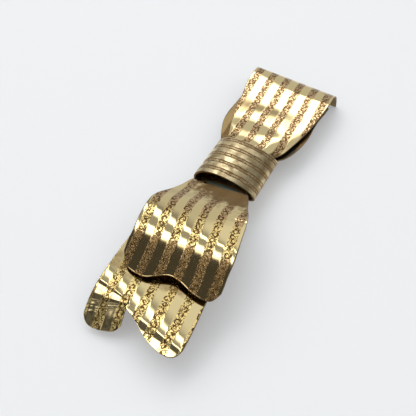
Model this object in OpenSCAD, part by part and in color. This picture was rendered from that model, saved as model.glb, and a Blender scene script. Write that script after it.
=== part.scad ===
// Ribbon bow brooch: two bent ribbons of thin sheet, a knot band round both and a pin behind.
// Millimetres, Z up. X runs across the ribbon, +Y towards the fold of the top loop.
// The brooch lies on its back on z = 0, the middle of its outline over the origin.

/* [Ribbon] */
// Width of both ribbons at full breadth
ribbon_w = 13; // [9:0.5:18]
// Thickness of the rolled sheet
sheet_t = 0.3; // [0.2:0.05:0.5]
// Middle of the knot to the outside of the top fold
loop_l = 23.2; // [18:0.2:32]
// Middle of the knot to the end of the front tail
front_tail_l = 21.8; // [16:0.2:30]
// Middle of the knot to the end of the back tail, before its lobes are bent down
back_tail_l = 29.6; // [24:0.2:40]

/* [Heights] */
// Back ribbon over the surface the brooch lies on
rest_h = 3; // [2.6:0.1:5]
// Crest of the front tail over the back ribbon
crest_h = 4.5; // [3:0.1:7]

/* [Knot band] */
// Length of the band along the brooch
knot_l = 7.8; // [5:0.1:10]
// Width of the band over its bent sides
knot_w = 8.6; // [8.2:0.1:12]
// Height of the band's crown over the back ribbon
knot_h = 2.6; // [2.2:0.1:4]
// How far the band's right side leans towards the fold on its way to the back
knot_lean = 0.9; // [0:0.1:1.5]

/* [Pin] */
// Diameter of the pin wire
pin_d = 0.8; // [0.5:0.05:1]
// Knot to the middle of the hinge
hinge_y = 12.5; // [9:0.5:16]
// Knot to the middle of the catch
catch_y = 11; // [8:0.5:14]
// Width of the hinge barrel
hinge_w = 3.4; // [2:0.1:5]
// Outer diameter of the hinge barrel and the catch hook
catch_d = 2.2; // [1.6:0.1:2.4]
// Length of the catch hook along the wire
hook_l = 2.2; // [1.2:0.1:3.6]
// Length of the hinge's plate along the brooch
hinge_plate_l = 4.4; // [3:0.1:6]
// Length of the catch's plate along the brooch
catch_plate_l = 3.6; // [2.4:0.1:5]
// How far the wire reaches past the catch's middle before its point
wire_past = 1.5; // [1.2:0.1:3]
// Length of the wire's point
point_l = 2.5; // [1:0.1:4]

/* [Hidden] */
$fn = 48;

half_w = ribbon_w / 2;
steps = 2;          // rows of the sheet for each row of a table
lobe_rows = 7;      // rows of the sheet over a lobe or the end of a tail
NO_SLIT = -9;       // no column of a sheet is this one
pin_gap = 0.1;      // between the pin's plates and the back ribbon
plate_t = 0.5;      // thickness of the pin's plates
web_t = 1;          // thickness of the webs that join the plates to the hinge and the hook
solder = 0.04;      // how far pieces of the pin run into one another, as one solid

// Columns of a table of sections. ALONG is a share of the loop's or the tail's length, LEFT and
// RIGHT of half the ribbon, the lifts and CROWN of crest_h over the back ribbon or, where a lift
// is negative, of rest_h below it. Each row is one section across the ribbon.
ALONG = 0; LEFT = 1; RIGHT = 2; LIFT_L = 3; LIFT_R = 4; CROWN = 5;

front_sections = [
    [-1.000, -0.83, 1.17, 0.340, 0.460, 0.04],
    [-0.900, -0.85, 1.15, 0.439, 0.597, 0.04],
    [-0.835, -0.89, 1.13, 0.500, 0.692, 0.04],
    [-0.760, -0.92, 1.12, 0.569, 0.796, 0.04],
    [-0.690, -0.96, 1.09, 0.622, 0.883, 0.04],
    [-0.620, -0.99, 1.05, 0.655, 0.948, 0.04],
    [-0.560, -1.00, 1.02, 0.670, 0.988, 0.04],
    [-0.505, -0.99, 0.98, 0.660, 1.000, 0.04],
    [-0.450, -0.92, 0.92,  0.61,  0.93, 0.04],
    [-0.390, -0.80, 0.82,  0.54,  0.82, 0.03],
    [-0.320, -0.69, 0.73,  0.48,  0.68, 0.02],
    [-0.250, -0.63, 0.62,  0.40,  0.54, 0.03],
    [-0.180, -0.58, 0.51,  0.26,  0.20, 0.07],
    [ 0.000, -0.55, 0.48,  0.18,  0.14, 0.08],
    [ 0.165, -0.57, 0.52,  0.20,  0.13, 0.10],
    [ 0.210, -0.59, 0.60,  0.21,  0.12, 0.09],
    [ 0.250, -0.61, 0.68,  0.22,  0.12, 0.07],
    [ 0.325, -0.69, 0.76,  0.23,  0.13, 0.05],
    [ 0.410, -0.77, 0.83,  0.23,  0.13, 0.03],
    [ 0.510, -0.86, 0.90,  0.24,  0.14, 0.02],
    [ 0.615, -0.90, 0.94,  0.25,  0.14, 0.01],
    [ 0.725, -0.97, 0.98,  0.28,  0.15, 0.01],
    [ 0.810, -1.00, 1.00,  0.32,  0.16, 0.00],
    [ 0.884, -1.00, 0.99,  0.33,  0.11, 0.00],
    [ 0.927, -1.00, 0.99,  0.29,  0.02, 0.00],
    [ 0.957, -1.00, 0.99,  0.19, -0.15, 0.00],
    [ 0.976, -1.00, 0.99,  0.04, -0.36, 0.00],
    [ 0.987, -1.00, 0.99, -0.17, -0.59, 0.00],
    [ 0.994, -1.00, 0.99, -0.38, -0.78, 0.00],
    [ 1.000, -1.00, 0.99, -0.60, -0.98, 0.00]];

back_sections = [
    [-1.000, -1.00, 0.99, -0.05,  0.07, 0.00],
    [-0.870, -1.00, 1.00, 0.108, 0.202, 0.00],
    [-0.740, -1.00, 0.96,  0.22,  0.29, 0.00],
    [-0.620, -1.00, 0.92,  0.27,  0.30, 0.00],
    [-0.500, -0.98, 0.87,  0.27,  0.28, 0.00],
    [-0.400, -0.92, 0.81,  0.24,  0.24, 0.00],
    [-0.300, -0.81, 0.75,  0.16,  0.16, 0.00],
    [-0.210, -0.68, 0.66,  0.09,  0.09, 0.00],
    [-0.130, -0.59, 0.54,  0.03,  0.03, 0.00],
    [ 0.000, -0.56, 0.52,  0.00,  0.00, 0.00],
    [ 0.155, -0.58, 0.53,  0.00,  0.00, 0.00],
    [ 0.195, -0.67, 0.59,  0.00,  0.00, 0.00],
    [ 0.235, -0.77, 0.72,  0.00,  0.00, 0.00],
    [ 0.300, -0.87, 0.83,  0.00,  0.00, 0.00],
    [ 0.395, -0.98, 0.91,  0.00, -0.02, 0.00],
    [ 0.485, -1.01, 0.94,  0.00, -0.04, 0.00],
    [ 0.580, -1.00, 0.93, -0.02, -0.06, 0.00],
    [ 0.670, -0.99, 0.93, -0.04, -0.10, 0.00],
    [ 0.760, -0.98, 0.96, -0.07, -0.15, 0.00],
    [ 0.830, -0.97, 0.97, -0.10, -0.20, 0.00]];

// Columns of a table of end cuts: ACROSS and RADIUS are shares of half the ribbon, END and BEND
// of the tail's length, TURN is in degrees. Each row is one place across the tail's end: where
// it is cut, where its bend downwards starts, and how tightly and how far that goes.
ACROSS = 0; END = 1; BEND = 2; RADIUS = 3; TURN = 4;

front_cut = [
    [-1.00, 0.895, 2, 1, 0], [-0.86, 0.955, 2, 1, 0], [-0.66, 0.982, 2, 1, 0],
    [-0.42, 0.990, 2, 1, 0], [-0.20, 0.962, 2, 1, 0], [ 0.02, 0.940, 2, 1, 0],
    [ 0.26, 0.950, 2, 1, 0], [ 0.50, 0.975, 2, 1, 0], [ 0.72, 0.988, 2, 1, 0],
    [ 0.88, 0.979, 2, 1, 0], [ 1.00, 0.930, 2, 1, 0]];

// Where the notch between the lobes ends, and where the front tail's end rows start, as shares
// of each tail's length.
notch_end = 0.855;
front_end = 0.76;
left_lobe = [
    [-1.00, 0.926, 0.790, 0.90, 40], [-0.94, 0.946, 0.793, 0.85, 40],
    [-0.83, 0.959, 0.798, 0.76, 40], [-0.66, 0.960, 0.808, 0.62, 40],
    [-0.48, 0.953, 0.820, 0.40, 40], [-0.36, 0.944, 0.829, 0.24, 40],
    [-0.28, 0.923, 0.834, 0.13, 40]];
right_lobe = [
    [-0.28, 0.862, 0.850, 3.00, 10], [-0.10, 0.882, 0.858, 3.00, 10],
    [ 0.08, 0.903, 0.868, 2.60, 10], [ 0.29, 0.930, 0.881, 2.20, 10],
    [ 0.51, 0.950, 0.896, 1.80, 10], [ 0.71, 0.960, 0.908, 1.60, 10],
    [ 0.87, 0.958, 0.916, 1.60, 10], [ 0.96, 0.943, 0.920, 1.60, 10],
    [ 1.00, 0.922, 0.922, 1.60, 10]];

// Section of the knot band, once round: across as a share of half knot_w, lift as a share of
// knot_h over the back ribbon.
SIDE = 0; RISE = 1;
band_section = [
    [-1.01,  0.02], [-1.02,  0.26], [-0.98,  0.52], [-0.80,  0.79], [-0.50,  0.93], [-0.20,  0.94],
    [ 0.10,  0.88], [ 0.40,  0.76], [ 0.67,  0.58], [ 0.85,  0.36], [ 0.93,  0.12], [ 0.92, -0.10],
    [ 0.78, -0.29], [ 0.40, -0.34], [ 0.00, -0.34], [-0.40, -0.34], [-0.83, -0.31], [-0.98, -0.17]];
// Rows of the band: along as a share of half knot_l, and how much higher or lower the crown is.
band_rows = [[-1.00, 1.06], [-0.80, 1.05], [-0.40, 1.02], [0.10, 1.00], [0.60, 0.97], [1.00, 0.92]];

// Smooth curve through the rows of a table, at a place counted in rows.
function row_at(table, i) = table[max(0, min(len(table) - 1, i))];
function spline(a, b, c, d, t) =
    (2 * b + (c - a) * t + (2 * a - 5 * b + 4 * c - d) * t * t
     + (3 * b - a - 3 * c + d) * t * t * t) / 2;
function section_at(table, q) =
    let (i = min(floor(q), len(table) - 2))
    spline(row_at(table, i - 1), row_at(table, i), row_at(table, i + 1), row_at(table, i + 2), q - i);
function finer(table, count) =
    [for (k = [0 : (len(table) - 1) * count]) section_at(table, k / count)];

// Section tables in millimetres.
function lift(share) = rest_h + share * (share < 0 ? rest_h : crest_h);
function in_mm(table, tail_l) =
    [for (s = table) [s[ALONG] * (s[ALONG] < 0 ? tail_l : loop_l), s[LEFT] * half_w,
                      s[RIGHT] * half_w, lift(s[LIFT_L]), lift(s[LIFT_R]), s[CROWN] * crest_h]];
function place_of(table, y) = lookup(y, [for (i = [0 : len(table) - 1]) [table[i][ALONG], i]]);

// Point of a ribbon at a place along its sections and a column of its end cut.
function point_at(table, q, cut, tail_l) =
    let (s = section_at(table, q), u = (cut[ACROSS] + 1) / 2,
         x = s[LEFT] + (s[RIGHT] - s[LEFT]) * u, y = s[ALONG],
         z = s[LIFT_L] + (s[LIFT_R] - s[LIFT_L]) * u + s[CROWN] * (1 - pow(cut[ACROSS], 2)),
         d = -cut[BEND] * tail_l - y, r = cut[RADIUS] * half_w)
    d <= 0 ? [x, y, z]
    : let (a = min(cut[TURN], d / r * 180 / PI), rest = d - r * a * PI / 180)
      [x, y + d - r * sin(a) - rest * cos(a), z - r * (1 - cos(a)) - rest * sin(a)];

// Places of a column's rows: over the end cut first, then along the sections.
function places(table, cut, tail_l, notch) =
    let (first = place_of(table, -cut[END] * tail_l), last = len(table) - 1,
         body = ceil((last - notch) * steps))
    [for (k = [0 : lobe_rows - 1]) first + (notch - first) * k / lobe_rows,
     for (k = [0 : body]) notch + (last - notch) * k / body];
function columns(table, cuts, tail_l, notch) =
    [for (c = cuts) [for (q = places(table, c, tail_l, notch)) point_at(table, q, c, tail_l)]];

// Unit normal of a sheet at row i, column j; a slit ends the sheet's left half at column slit
// and starts the right half at slit + 1 below the notch.
function unit(v) = v / norm(v);
function normal_at(g, i, j, slit, ring) =
    let (n = len(g), m = len(g[0]), open = i < lobe_rows,
         a = ring ? (j + n - 1) % n : j == slit + 1 ? (open ? j : j - 2) : max(0, j - 1),
         b = ring ? (j + 1) % n : j == slit ? (open ? j : j + 2) : min(n - 1, j + 1),
         along = g[j][min(m - 1, i + 1)] - g[j][max(0, i - 1)],
         across = g[b][i] - g[a][i])
    unit(cross(across, along));

// One closed solid from a grid of points, sheet_t thick: g[column][row].
module sheet(g, slit = NO_SLIT, ring = false) {
    n = len(g);
    m = len(g[0]);
    skin = [for (side = [0.5, -0.5]) for (j = [0 : n - 1]) for (i = [0 : m - 1])
            g[j][i] + normal_at(g, i, j, slit, ring) * side * sheet_t];
    // A column right of the slit is the same as the one left of it above the notch.
    function id(side, j, i) =
        (side * n + (j == slit + 1 && i >= lobe_rows ? slit : j % n)) * m + i;
    function quad(a, b, c, d) = [[a, b, c], [a, c, d]];
    spans = [for (j = [0 : ring ? n - 1 : n - 2]) if (j != slit) j];
    edges = ring ? [] : [[0, 0, m - 1, 0], [n - 1, 0, m - 1, 1],
                         if (slit > 0) [slit, 0, lobe_rows, 1],
                         if (slit > 0) [slit + 1, 0, lobe_rows, 0]];
    faces = [
        for (j = spans) for (i = [0 : m - 2]) each concat(
            quad(id(0, j, i), id(0, j, i + 1), id(0, j + 1, i + 1), id(0, j + 1, i)),
            quad(id(1, j + 1, i), id(1, j + 1, i + 1), id(1, j, i + 1), id(1, j, i))),
        for (j = spans) each concat(
            quad(id(0, j + 1, 0), id(1, j + 1, 0), id(1, j, 0), id(0, j, 0)),
            quad(id(0, j, m - 1), id(1, j, m - 1), id(1, j + 1, m - 1), id(0, j + 1, m - 1))),
        for (e = edges) for (i = [e[1] : e[2] - 1]) each e[3] == 0
            ? quad(id(0, e[0], i), id(1, e[0], i), id(1, e[0], i + 1), id(0, e[0], i + 1))
            : quad(id(0, e[0], i + 1), id(1, e[0], i + 1), id(1, e[0], i), id(0, e[0], i))];
    polyhedron(points = skin, faces = faces, convexity = 10);
}

front_mm = in_mm(front_sections, front_tail_l);
back_mm = in_mm(back_sections, back_tail_l);
front_grid = columns(front_mm, finer(front_cut, 2), front_tail_l,
                     place_of(front_mm, -front_end * front_tail_l));
lobe_cuts = concat(finer(left_lobe, 2), finer(right_lobe, 2));
back_grid = columns(back_mm, lobe_cuts, back_tail_l, place_of(back_mm, -notch_end * back_tail_l));
slit_column = (len(left_lobe) - 1) * 2;

// The outline's middle is moved over the origin.
all_points = [for (g = [front_grid, back_grid]) for (c = g) for (p = c) p];
function spread(k) = let (v = [for (p = all_points) p[k]]) [min(v), max(v)];
middle = [(spread(0)[0] + spread(0)[1]) / 2, (spread(1)[0] + spread(1)[1]) / 2];
module placed() { translate([-middle.x, -middle.y, 0]) children(); }

// Front tail, waist under the band, front leaf of the loop, fold and flange: one bent sheet.
module front_ribbon() color("goldenrod") placed() sheet(front_grid);

// Back leaf of the loop and the swallow-tailed back tail: one bent sheet.
module back_ribbon() color("darkgoldenrod") placed() sheet(back_grid, slit = slit_column);

// Strip of the same sheet wrapped once round both ribbons.
module knot_band() color("khaki") placed() {
    section = [for (k = [0 : len(band_section) * 2 - 1])
               let (n = len(band_section), i = floor(k / 2), t = (k % 2) / 2)
               spline(band_section[(i + n - 1) % n], band_section[i], band_section[(i + 1) % n],
                      band_section[(i + 2) % n], t)];
    top = max([for (p = section) p[RISE]]);
    back = min([for (p = section) p[RISE]]);
    sheet([for (p = section) [for (r = band_rows)
           [p[SIDE] * knot_w / 2,
            r[0] * knot_l / 2
            + knot_lean * pow((top - p[RISE]) / (top - back), 2) * (1 + p[SIDE]) / 2,
            rest_h + p[RISE] * knot_h * (p[RISE] > 0 ? r[1] : 1)]]], ring = true);
}

// Underside of the back ribbon's middle, less the gap the pin keeps from it.
function under(y) =
    let (s = section_at(back_mm, place_of(back_mm, y)), mid = (s[LIFT_L] + s[LIFT_R]) / 2)
    mid - sheet_t / 2 - pin_gap;
// A plate that follows the back ribbon's underside, its middle at y.
module plate(y, length, wide) {
    ends = [y - length / 2, y + length / 2];
    translate([-wide / 2, 0, 0]) rotate([90, 0, 90]) linear_extrude(wide)
        polygon([[ends[0], under(ends[0])], [ends[1], under(ends[1])],
                 [ends[1], under(ends[1]) - plate_t], [ends[0], under(ends[0]) - plate_t]]);
}
// A web up into the plate at y, from the height z.
module web(y, x_size, y_size, z) {
    translate([-x_size / 2, y - y_size / 2, z])
        cube([x_size, y_size, under(y) - plate_t / 2 - z]);
}

// Hinge, wire and catch behind the back ribbon, one plain piece on the surface.
module pin() color("silver") placed() {
    wire_z = catch_d / 2;
    // Hinge: a plate, a web and a barrel across the ribbon.
    plate(hinge_y, hinge_plate_l, hinge_w);
    web(hinge_y, hinge_w, web_t, wire_z);
    translate([-hinge_w / 2, hinge_y, wire_z]) rotate([0, 90, 0]) cylinder(d = catch_d, h = hinge_w);
    // Catch: a plate, a web and a hook open to one side, closed on the wire.
    plate(-catch_y, catch_plate_l, catch_d + web_t);
    web(-catch_y, web_t, hook_l, wire_z + (catch_d + pin_d) / 4);
    translate([0, -catch_y + hook_l / 2, wire_z]) rotate([90, 0, 0]) linear_extrude(hook_l)
        difference() {
            circle(d = catch_d);
            circle(d = pin_d - solder);
            translate([0, -pin_d / 2]) square([catch_d, pin_d - 2 * solder]);
        }
    // Wire from the barrel through the hook, and its point.
    translate([0, hinge_y, wire_z]) rotate([90, 0, 0])
        cylinder(d = pin_d, h = hinge_y + catch_y + wire_past);
    translate([0, -catch_y - wire_past, wire_z]) rotate([90, 0, 0])
        cylinder(d1 = pin_d, d2 = pin_d / 4, h = point_l);
}

front_ribbon();
back_ribbon();
knot_band();
pin();
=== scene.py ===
import math

import bmesh
import bpy
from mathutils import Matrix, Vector


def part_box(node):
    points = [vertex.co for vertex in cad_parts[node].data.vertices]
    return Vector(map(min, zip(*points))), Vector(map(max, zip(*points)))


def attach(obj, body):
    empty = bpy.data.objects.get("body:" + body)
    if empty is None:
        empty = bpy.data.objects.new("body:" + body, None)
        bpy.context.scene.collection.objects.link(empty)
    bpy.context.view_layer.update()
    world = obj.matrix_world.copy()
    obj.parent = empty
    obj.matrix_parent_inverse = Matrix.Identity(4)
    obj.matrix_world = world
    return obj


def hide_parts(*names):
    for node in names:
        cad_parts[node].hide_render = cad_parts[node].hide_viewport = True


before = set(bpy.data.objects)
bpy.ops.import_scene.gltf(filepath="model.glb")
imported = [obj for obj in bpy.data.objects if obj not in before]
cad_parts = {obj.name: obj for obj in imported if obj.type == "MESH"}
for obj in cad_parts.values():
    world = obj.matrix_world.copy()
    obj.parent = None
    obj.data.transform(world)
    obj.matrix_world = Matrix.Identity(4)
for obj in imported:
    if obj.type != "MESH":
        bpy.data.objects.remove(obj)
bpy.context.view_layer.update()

# Camera: it looks down on the front of the brooch from beyond the tails' right side, from close
# by, as the photograph does. Its place, from the middle of the knot, and its angles are those
# fitted to the picture. Its lens and film are in millimetres, and all other sizes in metres.
MM = 0.001
loop_l = 23.2 * MM
frame_sheet_t = 0.3 * MM
camera_from_knot = Vector((25.01, -58.33, 65.34)) * MM
camera_turn = (42.44, 0.0, 26.70)
camera_lens = 56.89
film_w = 36.0
# The middle of the knot, on the surface that the brooch lies on: across, the pin is centred on
# it, and at the fold the middle of the sheet lies loop_l beyond it.
pin_low, pin_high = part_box("pin")
fold_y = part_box("front_ribbon")[1][1]
knot = Vector(((pin_low[0] + pin_high[0]) / 2, fold_y - loop_l - frame_sheet_t / 2, 0))
lens = bpy.data.cameras.new("photo_camera")
lens.lens = camera_lens
lens.sensor_width = film_w
lens.clip_start = 2 * MM
camera = bpy.data.objects.new("photo_camera", lens)
camera.location = knot + camera_from_knot
camera.rotation_euler = [math.radians(angle) for angle in camera_turn]
bpy.context.collection.objects.link(camera)
bpy.context.scene.camera = camera

# Front ribbon: a strip of thin rolled sheet, bent by hand into the front tail with its wavy end,
# the narrow waist under the knot, the front leaf of the loop and the fold at the top. Stripes of
# engraved scrolls run along it between plain polished ones.
ribbon_w = 13 * MM
half_w = ribbon_w / 2
front_tail_l = 21.8 * MM
sheet_t = 0.25 * MM
# The sheet's edges, where it turns by more than sharp_angle, are rounded by edge_round.
edge_round = 0.15 * sheet_t
sharp_angle = math.radians(50)
# A lift of 0 is rest_h over the surface, and one of 1 is crest_h more.
rest_h = 3 * MM
crest_h = 4.5 * MM
# Plain stripes are plain_w of each pitch, and stand stripe_rise proud of the engraved ones. A
# phase is where a ribbon's stripes start, as a share of the pitch.
stripe_pitch = 2.25 * MM
plain_w = 1.15 * MM
engraved_w = stripe_pitch - plain_w
stripe_rise = 0.003 * MM
front_phase = 0.0
# Length of the sheet's cells, and how many of them lie across the front ribbon. Its rows of
# cells are straight up to front_straight of the tail's length, and follow its cut beyond that.
cell = 0.118 * MM
front_columns = 104
front_straight = 0.76
# Steps that each gap between two rows of a table is cut into, to measure its smooth curve.
section_steps = 16
cut_steps = 8

# Columns of a table of sections: ALONG is a share of the loop's or the tail's length, LEFT and
# RIGHT of half the ribbon, the lifts and CROWN of crest_h, or of rest_h where a lift is negative.
ALONG, LEFT, RIGHT, LIFT_L, LIFT_R, CROWN = range(6)
front_sections = [
    (-1.000, -0.83, 1.17, 0.340, 0.460, 0.04), (-0.900, -0.85, 1.15, 0.439, 0.597, 0.04),
    (-0.835, -0.89, 1.13, 0.500, 0.692, 0.04), (-0.760, -0.92, 1.12, 0.569, 0.796, 0.04),
    (-0.690, -0.96, 1.09, 0.622, 0.883, 0.04), (-0.620, -0.99, 1.05, 0.655, 0.948, 0.04),
    (-0.560, -1.00, 1.02, 0.670, 0.988, 0.04), (-0.505, -0.99, 0.98, 0.660, 1.000, 0.04),
    (-0.450, -0.92, 0.92, 0.61, 0.93, 0.04), (-0.390, -0.80, 0.82, 0.54, 0.82, 0.03),
    (-0.320, -0.69, 0.73, 0.48, 0.68, 0.02), (-0.250, -0.63, 0.62, 0.40, 0.54, 0.03),
    (-0.180, -0.58, 0.51, 0.26, 0.20, 0.07), (0.000, -0.55, 0.48, 0.18, 0.14, 0.08),
    (0.165, -0.57, 0.52, 0.20, 0.13, 0.10), (0.210, -0.59, 0.60, 0.21, 0.12, 0.09),
    (0.250, -0.61, 0.68, 0.22, 0.12, 0.07), (0.325, -0.69, 0.76, 0.23, 0.13, 0.05),
    (0.410, -0.77, 0.83, 0.23, 0.13, 0.03), (0.510, -0.86, 0.90, 0.24, 0.14, 0.02),
    (0.615, -0.90, 0.94, 0.25, 0.14, 0.01), (0.725, -0.97, 0.98, 0.28, 0.15, 0.01),
    (0.810, -1.00, 1.00, 0.32, 0.16, 0.00), (0.884, -1.00, 0.99, 0.33, 0.11, 0.00),
    (0.927, -1.00, 0.99, 0.29, 0.02, 0.00), (0.957, -1.00, 0.99, 0.19, -0.15, 0.00),
    (0.976, -1.00, 0.99, 0.04, -0.36, 0.00), (0.987, -1.00, 0.99, -0.17, -0.59, 0.00),
    (0.994, -1.00, 0.99, -0.38, -0.78, 0.00), (1.000, -1.00, 0.99, -0.60, -0.98, 0.00)]
# Columns of a table of end cuts: ACROSS and RADIUS are shares of half the ribbon, END and BEND of
# the tail's length, TURN is in degrees. NO_BEND is a bend that starts past the end.
ACROSS, END, BEND, RADIUS, TURN = range(5)
NO_BEND = (2, 1, 0)
front_cut = [
    (-1.00, 0.895, *NO_BEND), (-0.86, 0.955, *NO_BEND), (-0.66, 0.982, *NO_BEND),
    (-0.42, 0.990, *NO_BEND), (-0.20, 0.962, *NO_BEND), (0.02, 0.940, *NO_BEND),
    (0.26, 0.950, *NO_BEND), (0.50, 0.975, *NO_BEND), (0.72, 0.988, *NO_BEND),
    (0.88, 0.979, *NO_BEND), (1.00, 0.930, *NO_BEND)]


def section_at(table, place):
    """Row of a table at a place counted in rows, on a smooth curve through them all."""
    i = min(int(place), len(table) - 2)
    rows = [table[max(0, min(len(table) - 1, i + k))] for k in (-1, 0, 1, 2)]
    t = place - i
    return [(2 * b + (c - a) * t + (2 * a - 5 * b + 4 * c - d) * t * t
             + (3 * b - a - 3 * c + d) * t ** 3) / 2 for a, b, c, d in zip(*rows)]


def between(xs, ys, x):
    """Value at x on straight lines through the points of two lists, xs rising."""
    k = next((k for k in range(1, len(xs) - 1) if xs[k] > x), len(xs) - 1)
    t = (x - xs[k - 1]) / (xs[k] - xs[k - 1])
    return ys[k - 1] + (ys[k] - ys[k - 1]) * t


def in_metres(table, tail_l):
    """A table of sections with its shares made sizes."""
    def lift(share):
        return rest_h + share * (rest_h if share < 0 else crest_h)

    return [(s[ALONG] * (tail_l if s[ALONG] < 0 else loop_l), s[LEFT] * half_w,
             s[RIGHT] * half_w, lift(s[LIFT_L]), lift(s[LIFT_R]), s[CROWN] * crest_h)
            for s in table]


def surface_point(section, cut, tail_l):
    """Point of a ribbon on a section and a column of its end cut, the end bent down there."""
    across = cut[ACROSS]
    share = (across + 1) / 2
    x = section[LEFT] + (section[RIGHT] - section[LEFT]) * share
    y = section[ALONG]
    z = (section[LIFT_L] + (section[LIFT_R] - section[LIFT_L]) * share
         + section[CROWN] * (1 - across * across))
    past = -cut[BEND] * tail_l - y
    if past > 0:
        radius = cut[RADIUS] * half_w
        angle = min(math.radians(cut[TURN]), past / radius)
        straight = past - radius * angle
        y += past - radius * math.sin(angle) - straight * math.cos(angle)
        z -= radius * (1 - math.cos(angle)) + straight * math.sin(angle)
    return Vector((x, y, z))


def run_along(table, tail_l):
    """Fine steps along a table of sections: their places in it, counted in rows, and how far
    each lies from the tail's end along the middle of the sheet, and how far the knot does."""
    places = [k / section_steps for k in range((len(table) - 1) * section_steps + 1)]
    rows = [section_at(table, place) for place in places]
    middles = [surface_point(row, (0, 0, *NO_BEND), tail_l) for row in rows]
    run = [0]
    for a, b in zip(middles, middles[1:]):
        run.append(run[-1] + (b - a).length)
    return places, run, between([row[ALONG] for row in rows], run, 0)


def cut_columns(cut, first, last, columns):
    """Rows of a cut's table for the edges of cells from first to last, of all that lie across."""
    fine = [section_at(cut, k / cut_steps) for k in range((len(cut) - 1) * cut_steps + 1)]
    acrosses = [row[ACROSS] for row in fine]
    return [[between(acrosses, [row[k] for row in fine], 2 * i / columns - 1)
             for k in range(len(fine[0]))] for i in range(first, last + 1)]


def off_middle(x, pitch, phase):
    """How far x is from the middle of the nearest engraved stripe, x a number or a tone."""
    return abs((x / pitch + phase) % 1 - 0.5) * pitch


def plain_share(x, phase):
    """1 on a plain stripe, 0 on an engraved one, x metres from the middle of the ribbon."""
    past_edge = off_middle(x, stripe_pitch, phase) - engraved_w / 2
    return max(0, min(1, past_edge / (0.5 * cell) + 0.5))


def smooth_piece(work, name):
    """A finished bmesh as a smooth piece in the scene."""
    for face in work.faces:
        face.smooth = True
    mesh = bpy.data.meshes.new(name)
    work.to_mesh(mesh)
    work.free()
    piece = bpy.data.objects.new(name, mesh)
    bpy.context.collection.objects.link(piece)
    return piece


def ribbon(name, sections, cuts, tail_l, straight, columns, phase, slit=None):
    """A fine striped sheet on the sections' surface. slit is the share of its width where its end
    is cut as far as the straight rows, and cuts has a table for each side of it."""
    table = in_metres(sections, tail_l)
    places, run, knot_run = run_along(table, tail_l)

    def place_of(y):
        return between([s[ALONG] for s in table], range(len(table)), y)

    straight_from = place_of(-straight * tail_l)
    straight_run = between(places, run, straight_from)
    straight_l = run[-1] - straight_run
    end_rows = round((1 - straight) * tail_l / cell)
    body_rows = round(straight_l / cell)
    body = [between(run, places, straight_run + straight_l * k / body_rows)
            for k in range(body_rows + 1)]
    slit_i = round(slit * columns) if slit else columns
    left = cut_columns(cuts[0], 0, slit_i, columns)
    right = cut_columns(cuts[-1], slit_i, columns, columns)

    work = bmesh.new()
    rows = end_rows + body_rows
    bmesh.ops.create_grid(work, x_segments=columns, y_segments=rows, size=1)

    def column_of(v):
        return round((v.co.x + 1) / 2 * columns)

    def row_of(v):
        return round((v.co.y + 1) / 2 * rows)

    if slit:
        open_edges = [e for e in work.edges
                      if all(column_of(v) == slit_i and row_of(v) <= end_rows for v in e.verts)]
        bmesh.ops.split_edges(work, edges=open_edges)
    # The place of each point on the flat sheet: across from its middle, along from the knot.
    flat = work.verts.layers.float_vector.new("place")
    points = {}
    for v in work.verts:
        i, j = column_of(v), row_of(v)
        on_right = i > slit_i
        if i == slit_i and slit and j < end_rows:
            on_right = v.link_faces[0].calc_center_median().x > v.co.x
        cut = right[i - slit_i] if on_right else left[i]
        if j < end_rows:
            end = place_of(-cut[END] * tail_l)
            place = end + (straight_from - end) * j / end_rows
        else:
            place = body[j - end_rows]
        section = section_at(table, place)
        point = surface_point(section, cut, tail_l)
        middle = (section[LEFT] + section[RIGHT]) / 2
        v[flat] = (point.x - middle, between(places, run, place) - knot_run, 0)
        points[v] = point
    for v, point in points.items():
        v.co = point + knot
    work.normal_update()
    for v in work.verts:
        v.co += v.normal * stripe_rise * plain_share(v[flat].x, phase)
    return smooth_piece(work, name)


def give_thickness(piece, face, back, rim):
    """Sheet with its outer face, its back and its cut edges in materials of their own."""
    for material in (face, back, rim):
        piece.data.materials.append(material)
    wall = piece.modifiers.new("wall", "SOLIDIFY")
    wall.thickness = sheet_t
    wall.offset = 0
    wall.use_even_offset = True
    wall.material_offset = 1
    wall.material_offset_rim = 2
    edge = piece.modifiers.new("edge", "BEVEL")
    edge.width = edge_round
    edge.material = 2
    edge.segments = 2
    edge.limit_method = "ANGLE"
    edge.angle_limit = sharp_angle


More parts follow.
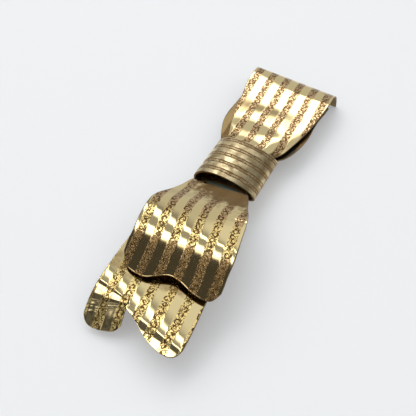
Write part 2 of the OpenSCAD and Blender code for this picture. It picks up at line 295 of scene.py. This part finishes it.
class Tone:
    """A value, colour or vector in a finish. Arithmetic on it adds Math nodes."""

    def __init__(self, tree, socket=None):
        self.tree = tree
        self.socket = socket

    def node(self, kind, inputs, output=0, **settings):
        """Another node: its type, the values or links of its sockets, its settings."""
        made = self.tree.nodes.new(kind)
        for name, value in settings.items():
            setattr(made, name, value)
        for name, value in inputs.items():
            if isinstance(value, Tone):
                self.tree.links.new(value.socket, made.inputs[name])
            else:
                made.inputs[name].default_value = value
        return Tone(self.tree, made.outputs[output])

    def math(self, operation, *others):
        """A Math node with this value first."""
        values = dict(enumerate((self, *others)))
        return self.node("ShaderNodeMath", values, operation=operation)

    def __add__(self, other):
        return self.math("ADD", other)

    def __sub__(self, other):
        return self.math("SUBTRACT", other)

    def __rsub__(self, other):
        return self.node("ShaderNodeMath", {0: other, 1: self}, operation="SUBTRACT")

    def __mul__(self, other):
        return self.math("MULTIPLY", other)

    def __truediv__(self, other):
        return self.math("DIVIDE", other)

    def __mod__(self, other):
        return self.math("FLOORED_MODULO", other)

    def __abs__(self):
        return self.math("ABSOLUTE")

    __radd__ = __add__
    __rmul__ = __mul__

    def most(self, other):
        """The larger of two values."""
        return self.math("MAXIMUM", other)

    def ramp(self, low, high):
        """0 below low and 1 above high, or the other way round, with a smooth step."""
        return self.node("ShaderNodeMapRange", {0: self, 1: low, 2: high},
                         interpolation_type="SMOOTHSTEP")

    def part(self, axis):
        """One number of a vector: 0 is X, 1 is Y and 2 is Z."""
        return self.node("ShaderNodeSeparateXYZ", {0: self}, output=axis)

    def noise(self, scale, detail=2.0):
        """Cloudy noise on a place, scale clouds to the metre."""
        return self.node("ShaderNodeTexNoise", {"Vector": self, "Scale": scale, "Detail": detail})

    def mix(self, start, end):
        """Colour from start to end, as this value goes from 0 to 1. A Mix node's colours are its
        sockets 6 and 7, and come out at 2."""
        return self.node("ShaderNodeMix", {0: self, 6: start, 7: end}, output=2,
                         data_type="RGBA", clamp_factor=True)

    def bump(self, strength, depth):
        """Normal of a surface with this height, which is depth metres at 1."""
        return self.node("ShaderNodeBump", {"Strength": strength, "Distance": depth,
                                            "Height": self})


def new_finish(name, on_sheet=True):
    """An empty metal, with the place of each point on its flat sheet, or else in its object."""
    material = bpy.data.materials.new(name)
    material.use_nodes = True
    shader = material.node_tree.nodes["Principled BSDF"]
    shader.inputs["Metallic"].default_value = 1.0
    start = Tone(material.node_tree)
    if on_sheet:
        place = start.node("ShaderNodeAttribute", {}, output="Vector", attribute_name="place")
    else:
        place = start.node("ShaderNodeTexCoord", {}, output="Object")
    return material, shader, place


def feed(shader, tones):
    """Link tones to the shader's sockets of their names."""
    for name, tone in tones.items():
        tone.tree.links.new(tone.socket, shader.inputs[name])


# The engraved scrolls: length of a curl's place along the stripe, gap between the turns of its
# line and its radius, how far curls stray sideways, and how far one stripe's are shifted from
# its neighbour's. The stem between them waves by stem_wave, and all is shaken by up to half of
# scroll_shake each way. An edge is where a line has faded out, and where it is full.
scroll_l = 0.82 * MM
scroll_gap = 0.52 * MM
scroll_r = 0.56 * MM
scroll_stray = 0.36 * MM
scroll_shift = 0.37 * scroll_l
scroll_shake = 0.65 * MM
stem_wave = 0.3 * MM
stem_edge = (0.09 * MM, 0.03 * MM)
scroll_soft = 0.04 * MM


def scrollwork(place, phase):
    """Engraved lines: a row of curls down each engraved stripe, joined by a waving stem, with
    thin tendrils all over."""
    cloud = place.node("ShaderNodeTexNoise", {"Vector": place, "Scale": 1300.0, "Detail": 2.0},
                       output="Color")
    shake = place.node("ShaderNodeVectorMath", {0: cloud, 1: (0.5, 0.5, 0.5)},
                       operation="SUBTRACT")
    shaken = place.node("ShaderNodeVectorMath",
                        {0: shake, 1: (scroll_shake, scroll_shake, 0), 2: place},
                        operation="MULTIPLY_ADD")
    x, y = shaken.part(0), shaken.part(1)
    stripe = (x / stripe_pitch + phase).math("FLOOR")
    off = x - (stripe + (0.5 - phase)) * stripe_pitch
    along = y + stripe * scroll_shift
    curl = (along / scroll_l).math("FLOOR")
    down = along - (curl + 0.5) * scroll_l
    number = place.node("ShaderNodeCombineXYZ", {0: stripe, 1: curl})
    chance = place.node("ShaderNodeTexWhiteNoise", {0: number}, noise_dimensions="3D")
    side = (chance * 7 % 1 - 0.5).math("SIGN")
    over = off + (chance - 0.5) * scroll_stray
    reach = (over * over + down * down).math("SQRT")
    turn = down.math("ARCTAN2", over * side) / (2 * math.pi)
    spiral = abs((reach / scroll_gap - turn + chance) % 1 - 0.5) * 2
    curls = spiral.ramp(0.48, 0.26) * reach.ramp(scroll_r + scroll_soft, scroll_r - scroll_soft)
    wave = (along * (math.pi / scroll_l)).math("SINE") * stem_wave
    stem = abs(off - wave).ramp(*stem_edge)
    tendrils = abs(place.noise(2000.0, 0.0) - 0.5).ramp(0.05, 0.02)
    return curls.most(stem).most(tendrils * 0.9)


# The edge of a plain stripe wanders by up to half of plain_shake, and is a little soft.
plain_shake = 0.30 * MM
plain_soft = 0.03 * MM


def plain_mask(place, phase):
    """1 on the plain stripes, as plain_share, with a slightly uneven edge."""
    shake = (place.noise(2200.0, 3.0) - 0.5) * plain_shake
    off = off_middle(place.part(0) + shake, stripe_pitch, phase)
    edge = engraved_w / 2
    return off.ramp(edge - plain_soft, edge + plain_soft)


PLAIN_GOLD = (0.75, 0.62, 0.33, 1)
ENGRAVED_GOLD = (1.0, 0.80, 0.33, 1)
RUSTY_GOLD = (0.80, 0.47, 0.17, 1)
# Dulled engraving, which also stands for painted shade on the engraving.
DULL_AND_SHADED_GOLD = (0.50, 0.34, 0.20, 1)
GROOVE_BROWN = (0.12, 0.062, 0.018, 1)
# Brown of tarnish, also used for painted shade and painted reflection.
TARNISH_AND_SHADE = (0.24, 0.145, 0.05, 1)
VERDIGRIS = (0.10, 0.20, 0.18, 1)
# Black of painted shade, on the flange and inside the loop.
SHADE_BLACK = (0.07, 0.06, 0.045, 1)
# Depth of the relief where its height is 1.
stripe_depth = 0.03 * MM


def striped_gold(name, phase, stains_and_shade):
    """Plain and engraved stripes with dirt in the lines. Its last argument gives four masks for a
    place: brown tarnish, painted shade and painted reflection, green verdigris, dulled engraving
    that is in part painted shade, and black painted shade. Where the brown is heavy, it is matt."""
    material, shader, place = new_finish(name)
    plain = plain_mask(place, phase)
    engraved = 1 - plain
    worn = place.noise(2600.0, 3.0).ramp(0.34, 0.46)
    lines = scrollwork(place, phase) * engraved * worn
    pits = engraved * place.noise(4600.0, 2.0).ramp(0.62, 0.68)
    dirt = engraved * place.noise(700.0, 3.0).ramp(0.35, 0.65)
    brown, green, dull_and_shade, black = stains_and_shade(place)
    colour = plain.mix(ENGRAVED_GOLD, PLAIN_GOLD)
    colour = (dirt * 0.3).mix(colour, RUSTY_GOLD)
    # Dulled engraving, which is in part painted shade.
    colour = (dull_and_shade * engraved).mix(colour, DULL_AND_SHADED_GOLD)
    colour = lines.most(pits * 0.8).mix(colour, GROOVE_BROWN)
    # Brown: tarnish, painted shade and painted reflection.
    colour = brown.mix(colour, TARNISH_AND_SHADE)
    colour = green.mix(colour, VERDIGRIS)
    # Black painted shade.
    colour = black.mix(colour, SHADE_BLACK)
    height = (plain * 0.2 - lines * 0.7 - pits * 0.2 + place.noise(900.0, 1.0) * 0.03
              + engraved * place.noise(2600.0) * 0.3)
    rough = 0.045 + engraved * 0.07 + green * 0.3 + brown.ramp(0.65, 0.8) * 0.3
    feed(shader, {"Base Color": colour, "Roughness": rough,
                  "Normal": height.bump(0.5, stripe_depth)})
    return material


def patch(place, x, y, wide, long):
    """A soft oval on the sheet, with a ragged edge, used for stain marks and for painted shade:
    its middle and its size, in millimetres."""
    ragged = (place.noise(1100.0, 3.0) - 0.5) * 1.4
    across = (place.part(0) - x * MM) / (wide * MM / 2)
    along = (place.part(1) - y * MM) / (long * MM / 2)
    return ((across * across + along * along).math("SQRT") + ragged).ramp(1.3, 0.7)


# Brown patches: patina under the knot, painted reflection on the leaf's plain stripes, where
# they mirror the light's darker middle, and painted shade at the fold. Each has its middle,
# width and length in millimetres, and how brown it is.
front_patches = [
    (2.8, -5.2, 12.0, 8.8, 1.0), (-4.6, 12.6, 1.4, 4.0, 0.6), (-2.4, 12.8, 1.2, 1.8, 0.5),
    (-0.1, 12.4, 1.2, 3.6, 0.5), (2.4, 11.6, 1.2, 2.4, 0.4), (4.6, 22.6, 5.0, 3.2, 0.4)]


def front_stains_and_shade(place):
    """Painted shade in brown at the tail's dark end and on the fold, brown patina under the knot,
    painted reflection in brown patches on the leaf, green verdigris close to the knot, dulled
    engraving all over but on the tail's bright ripple, where it stays bright as a painted
    highlight, and black painted shade on the flange."""
    run = place.part(1)
    # Painted shade in brown: the tail's dark end and the fold.
    brown = (run.ramp(-17.0 * MM, -17.6 * MM) * 0.64).most(run.ramp(22.6 * MM, 24.6 * MM) * 0.5)
    # Painted shade in brown on the flange.
    brown = brown.most(run.ramp(24.6 * MM, 25.2 * MM))
    for x, y, wide, long, deep in front_patches:
        brown = brown.most(patch(place, x, y, wide, long) * deep)
    green = patch(place, 1.0, -5.0, 6.0, 1.6) * 0.8
    # Engraving dulled, as painted shade, everywhere but on the tail's ripple, where it stays
    # bright as a painted highlight.
    dull_and_shade = run.ramp(-14.0 * MM, -12.0 * MM).most(run.ramp(-16.5 * MM, -17.5 * MM)) * 0.8
    # Black painted shade on the flange.
    black = run.ramp(24.4 * MM, 25.0 * MM)
    return brown, green, dull_and_shade, black


def dull_metal(name, colour):
    """The sheet's back and cut edges: plain, duller and browner."""
    material, shader, place = new_finish(name)
    cloud = place.noise(900.0, 4.0).ramp(0.3, 0.75)
    feed(shader, {"Base Color": cloud.mix(colour, TARNISH_AND_SHADE), "Roughness": 0.30 + cloud * 0.2})
    return material


DULL_BACK = (0.34, 0.25, 0.13, 1)
DARK_RIM = (0.17, 0.12, 0.06, 1)
sheet_back = dull_metal("sheet_back", DULL_BACK)
sheet_rim = dull_metal("sheet_rim", DARK_RIM)
front = ribbon("front_ribbon_sheet", front_sections, [front_cut], front_tail_l, front_straight,
               front_columns, front_phase)
give_thickness(front, striped_gold("front_gold", front_phase, front_stains_and_shade), sheet_back, sheet_rim)
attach(front, "root")
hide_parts("front_ribbon")

# Back ribbon: a strip of the same sheet behind the first, flat on the brooch's back from the
# loop's open end down to its swallowtail. The tail's two round lobes are bent down, the left most.
back_tail_l = 29.6 * MM
back_columns = 100
back_phase = 0.5
# The notch between the lobes is where the straight rows end, at slit_share of the width.
notch_share = 0.855
slit_share = 0.36
back_sections = [
    (-1.000, -1.00, 0.99, -0.05, 0.07, 0.00), (-0.870, -1.00, 1.00, 0.108, 0.202, 0.00),
    (-0.740, -1.00, 0.96, 0.22, 0.29, 0.00), (-0.620, -1.00, 0.92, 0.27, 0.30, 0.00),
    (-0.500, -0.98, 0.87, 0.27, 0.28, 0.00), (-0.400, -0.92, 0.81, 0.24, 0.24, 0.00),
    (-0.300, -0.81, 0.75, 0.16, 0.16, 0.00), (-0.210, -0.68, 0.66, 0.09, 0.09, 0.00),
    (-0.130, -0.59, 0.54, 0.03, 0.03, 0.00), (0.000, -0.56, 0.52, 0.00, 0.00, 0.00),
    (0.155, -0.58, 0.53, 0.00, 0.00, 0.00), (0.195, -0.67, 0.59, 0.00, 0.00, 0.00),
    (0.235, -0.77, 0.72, 0.00, 0.00, 0.00), (0.300, -0.87, 0.83, 0.00, 0.00, 0.00),
    (0.395, -0.98, 0.91, 0.00, -0.02, 0.00), (0.485, -1.01, 0.94, 0.00, -0.04, 0.00),
    (0.580, -1.00, 0.93, -0.02, -0.06, 0.00), (0.670, -0.99, 0.93, -0.04, -0.10, 0.00),
    (0.760, -0.98, 0.96, -0.07, -0.15, 0.00), (0.830, -0.97, 0.97, -0.10, -0.20, 0.00)]
left_lobe = [
    (-1.00, 0.926, 0.790, 0.90, 40), (-0.94, 0.946, 0.793, 0.85, 40),
    (-0.83, 0.959, 0.798, 0.76, 40), (-0.66, 0.960, 0.808, 0.62, 40),
    (-0.48, 0.953, 0.820, 0.40, 40), (-0.36, 0.944, 0.829, 0.24, 40),
    (-0.28, 0.923, 0.834, 0.13, 40)]
right_lobe = [
    (-0.28, 0.862, 0.850, 3.00, 10), (-0.10, 0.882, 0.858, 3.00, 10),
    (0.08, 0.903, 0.868, 2.60, 10), (0.29, 0.930, 0.881, 2.20, 10),
    (0.51, 0.950, 0.896, 1.80, 10), (0.71, 0.960, 0.908, 1.60, 10),
    (0.87, 0.958, 0.916, 1.60, 10), (0.96, 0.943, 0.920, 1.60, 10),
    (1.00, 0.922, 0.922, 1.60, 10)]


def back_stains_and_shade(place):
    """Painted shade in brown: the front tail's shadow under its end, mottled on the bent-down left
    lobe and even on the loop; a little green verdigris under the knot; dulled engraving from the
    front tail upwards; and black painted shade on the loop's right."""
    x, y = place.part(0), place.part(1)
    on_loop = y.ramp(-6.0 * MM, -2.0 * MM)
    mottle = place.noise(1500.0, 3.0).ramp(0.46, 0.58)
    # Painted shadow of the front tail's end.
    brown = patch(place, 0.0, -20.5, 14.0, 3.0) * 0.6
    # Painted shade on the loop, browner towards its right.
    brown = brown.most(on_loop * (0.8 + x.ramp(4.0 * MM, 4.8 * MM) * 0.2))
    # Mottled painted shade on the bent-down left lobe.
    brown = brown.most(patch(place, -4.6, -27.0, 6.0, 7.0) * mottle * 0.5)
    green = patch(place, 0.0, 0.0, 5.0, 5.0) * 0.4
    dull_and_shade = y.ramp(-15.0 * MM, -12.0 * MM)
    # Black painted shade on the loop's right, its outer edge left light.
    black = on_loop * x.ramp(3.0 * MM, 4.0 * MM) * x.ramp(5.9 * MM, 5.5 * MM)
    return brown, green, dull_and_shade, black


back = ribbon("back_ribbon_sheet", back_sections, [left_lobe, right_lobe], back_tail_l,
              notch_share, back_columns, back_phase, slit_share)
give_thickness(back, striped_gold("back_gold", back_phase, back_stains_and_shade), sheet_back, sheet_rim)
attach(back, "root")
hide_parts("back_ribbon")

# Knot band: a strip of the same sheet wrapped once round both ribbons, with engraved double
# lines round it between plain ribs.
knot_l = 7.8 * MM
knot_w = 8.6 * MM
knot_h = 2.6 * MM
knot_lean = 0.9 * MM
# Columns of the band's section: shares of half its width and of its height.
SIDE, RISE = range(2)
band_section = [
    (-1.01, 0.02), (-1.02, 0.26), (-0.98, 0.52), (-0.80, 0.79), (-0.50, 0.93), (-0.20, 0.94),
    (0.10, 0.88), (0.40, 0.76), (0.67, 0.58), (0.85, 0.36), (0.93, 0.12), (0.92, -0.10),
    (0.78, -0.29), (0.40, -0.34), (0.00, -0.34), (-0.40, -0.34), (-0.83, -0.31), (-0.98, -0.17)]
# How high the band's front stands along it, from its lower edge at -1 to its upper one at 1,
# as a share of the section's height.
band_heights = [(-1.00, 1.06), (-0.80, 1.05), (-0.40, 1.02), (0.10, 1.00), (0.60, 0.97),
                (1.00, 0.92)]
# The pattern's place round the band grows by this from one point of the section to the next.
pattern_step = 1.4 * MM


def band_mesh(name, round_count, along_count):
    """The band as a grid closed into a ring on its section. Its right side leans towards the
    loop as it goes down."""
    closed = [band_section[-1]] + band_section + band_section[:2]
    rises = [point[RISE] for point in band_section]
    top, bottom = max(rises), min(rises)
    turns = len(band_section)
    alongs, heights = zip(*band_heights)
    work = bmesh.new()
    bmesh.ops.create_grid(work, x_segments=round_count, y_segments=along_count, size=1)
    flat = work.verts.layers.float_vector.new("place")
    for v in work.verts:
        share, along = (v.co.x + 1) / 2, v.co.y
        side, rise = section_at(closed, 1 + share * turns)
        height = between(alongs, heights, along) if rise > 0 else 1
        lean = knot_lean * ((top - rise) / (top - bottom)) ** 2 * (1 + side) / 2
        v[flat] = (share * turns * pattern_step, along * knot_l / 2, 0)
        v.co = Vector((side * knot_w / 2, along * knot_l / 2 + lean,
                       rest_h + rise * knot_h * height)) + knot
    bmesh.ops.remove_doubles(work, verts=work.verts, dist=0.001 * MM)
    work.normal_update()
    return smooth_piece(work, name)


RIB_GOLD = (0.86, 0.71, 0.42, 1)
ROW_GOLD = (0.76, 0.56, 0.30, 1)
ROW_BROWN = (0.12, 0.07, 0.03, 1)
# Rows of strokes, one a pitch, with a line along each side line_off from the middle.
rib_pitch = 1.55 * MM
rib_phase = 0.32
rib_shake = 0.25 * MM
row_edge = (0.36 * MM, 0.28 * MM)
line_off = 0.25 * MM
line_edge = (0.10 * MM, 0.04 * MM)
rib_depth = 0.05 * MM


def ribbed_gold(name):
    """Rows of small engraved strokes between plain ribs, with grimy patches, and browner towards
    the right side as painted shade.
    """
    material, shader, place = new_finish(name)
    y = place.part(1) + (place.noise(900.0) - 0.5) * rib_shake
    off = off_middle(y, rib_pitch, rib_phase)
    row = off.ramp(*row_edge)
    lines = abs(off - line_off).ramp(*line_edge) * place.noise(3800.0).ramp(0.32, 0.46)
    lines = lines.most(row * place.noise(5200.0).ramp(0.54, 0.62))
    # Painted shade: browner towards the band's right side.
    right_side_shade = place.part(0).ramp(8.0 * MM, 14.0 * MM)
    grime_and_shade = (place.noise(700.0, 4.0) + right_side_shade * 0.12).ramp(0.40, 0.68)
    colour = row.mix(RIB_GOLD, ROW_GOLD)
    colour = lines.mix(colour, ROW_BROWN)
    colour = (grime_and_shade * 0.65).mix(colour, TARNISH_AND_SHADE)
    height = 0 - lines - row * 0.3
    feed(shader, {"Base Color": colour, "Roughness": 0.27 + row * 0.08 + grime_and_shade * 0.15,
                  "Normal": height.bump(0.9, rib_depth)})
    return material


band = band_mesh("knot_band_strip", round_count=260, along_count=66)
give_thickness(band, ribbed_gold("band_gold"), sheet_back, sheet_rim)
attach(band, "root")
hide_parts("knot_band")

# Pin: the hinge, wire and catch on the back, plain brass. It isn't seen in the photograph, so
# the frame's own solid is kept as it is.
PIN_BRASS = (0.62, 0.50, 0.28, 1)
DULL_BRASS = (0.40, 0.29, 0.14, 1)
pin_finish, pin_shader, pin_place = new_finish("pin_brass", on_sheet=False)
dulled = pin_place.noise(900.0, 3.0).ramp(0.35, 0.7)
feed(pin_shader, {"Base Color": dulled.mix(PIN_BRASS, DULL_BRASS),
                  "Roughness": 0.28 + dulled * 0.15})
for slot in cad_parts["pin"].material_slots:
    slot.material = pin_finish

# Surface and light: a plain pale table in a dim room, which the metal mirrors: a pale wall behind
# the brooch with window panes, and pale parts on the right and low down. Two soft lamps, which
# the metal doesn't mirror, light the table.
TABLE_GREY = (0.54, 0.55, 0.56, 1)
TABLE_GLOW = (0.96, 0.98, 1.0, 1)
table_half_w = 2.0
table_top = bpy.data.materials.new("pale_table")
table_top.use_nodes = True
paint = table_top.node_tree.nodes["Principled BSDF"]
paint.inputs["Base Color"].default_value = TABLE_GREY
paint.inputs["Roughness"].default_value = 0.7
paint.inputs["Emission Color"].default_value = TABLE_GLOW
paint.inputs["Emission Strength"].default_value = 0.235
top_work = bmesh.new()
bmesh.ops.create_grid(top_work, x_segments=1, y_segments=1, size=table_half_w)
table_piece = smooth_piece(top_work, "table_top")
table_piece.data.materials.append(table_top)

# The room as the brooch sees it, each row a part of it, in degrees: from and to which azimuth,
# counted from +Y and negative to the left, from and to which elevation, how soft its edges are,
# and its brightness, which adds to the others'. All lean: their azimuths hold at lean_from
# degrees up, and grow by lean for each degree less.
dim_room = 0.12
lean = 0.3
lean_from = 60
room_parts = [
    (-55, 8, 6, 74, 4, 0.54),         # the wall
    (-54, 8, 54, 74, 4, 0.25),        # its paler upper part
    (-60, -57.2, 36, 78, 0.7, 3.4),   # two tall panes with a post between them
    (-67.5, -60, 36, 78, 0.7, 0.30),
    (-71, -67.5, 42, 78, 0.7, 3.4),
    (-126, -89, 53, 69, 2, 3.0),      # a wide pane to the left of them
    (-34, -13, 40, 48, 1.5, 3.0),     # a small pane over the loop
    (30, 130, 8, 75, 12, 0.22),       # a pale part on the right
    (-220, 220, -90, 6, 4, 0.45)]     # a pale band low down, all round
world = bpy.data.worlds.new("room")
bpy.context.scene.world = world
world.use_nodes = True
air = world.node_tree.nodes["Background"]
sky = Tone(world.node_tree).node("ShaderNodeTexCoord", {}, output="Generated")
elevation = sky.part(2).math("ARCSINE") * (180 / math.pi)
azimuth = (sky.part(0).math("ARCTAN2", sky.part(1)) * (180 / math.pi)
           + (elevation - lean_from) * lean)
glow = dim_room
for az_from, az_to, el_from, el_to, soft, bright in room_parts:
    part = (azimuth.ramp(az_from - soft, az_from + soft)
            * azimuth.ramp(az_to + soft, az_to - soft)
            * elevation.ramp(el_from - soft, el_from + soft)
            * elevation.ramp(el_to + soft, el_to - soft))
    glow = part * bright + glow
# Things in the room on the camera's side, which the bent lobe mirrors.
clutter = (sky.noise(16.0, 3.0).ramp(0.48, 0.60) * sky.part(1).ramp(-0.45, -0.65)
           * elevation.ramp(12.0, 18.0))
feed(air, {"Strength": glow + clutter * 1.1})
air.inputs["Color"].default_value = (1, 1, 1, 1)

# Lamps for the table: place in metres, width, watts.
for lamp_name, spot, wide, watts in (("room_lamp", (-0.22, 0.16, 0.34), 0.50, 0.5),
                                     ("ceiling_lamp", (0.0, 0.0, 0.60), 2.0, 7.2)):
    lamp = bpy.data.lights.new(lamp_name, "AREA")
    lamp.shape = "DISK"
    lamp.size = wide
    lamp.energy = watts
    holder = bpy.data.objects.new(lamp_name, lamp)
    holder.location = spot
    holder.rotation_euler = Vector(spot).to_track_quat("Z", "Y").to_euler()
    holder.visible_glossy = False
    bpy.context.collection.objects.link(holder)
bpy.context.scene.view_settings.view_transform = "Standard"
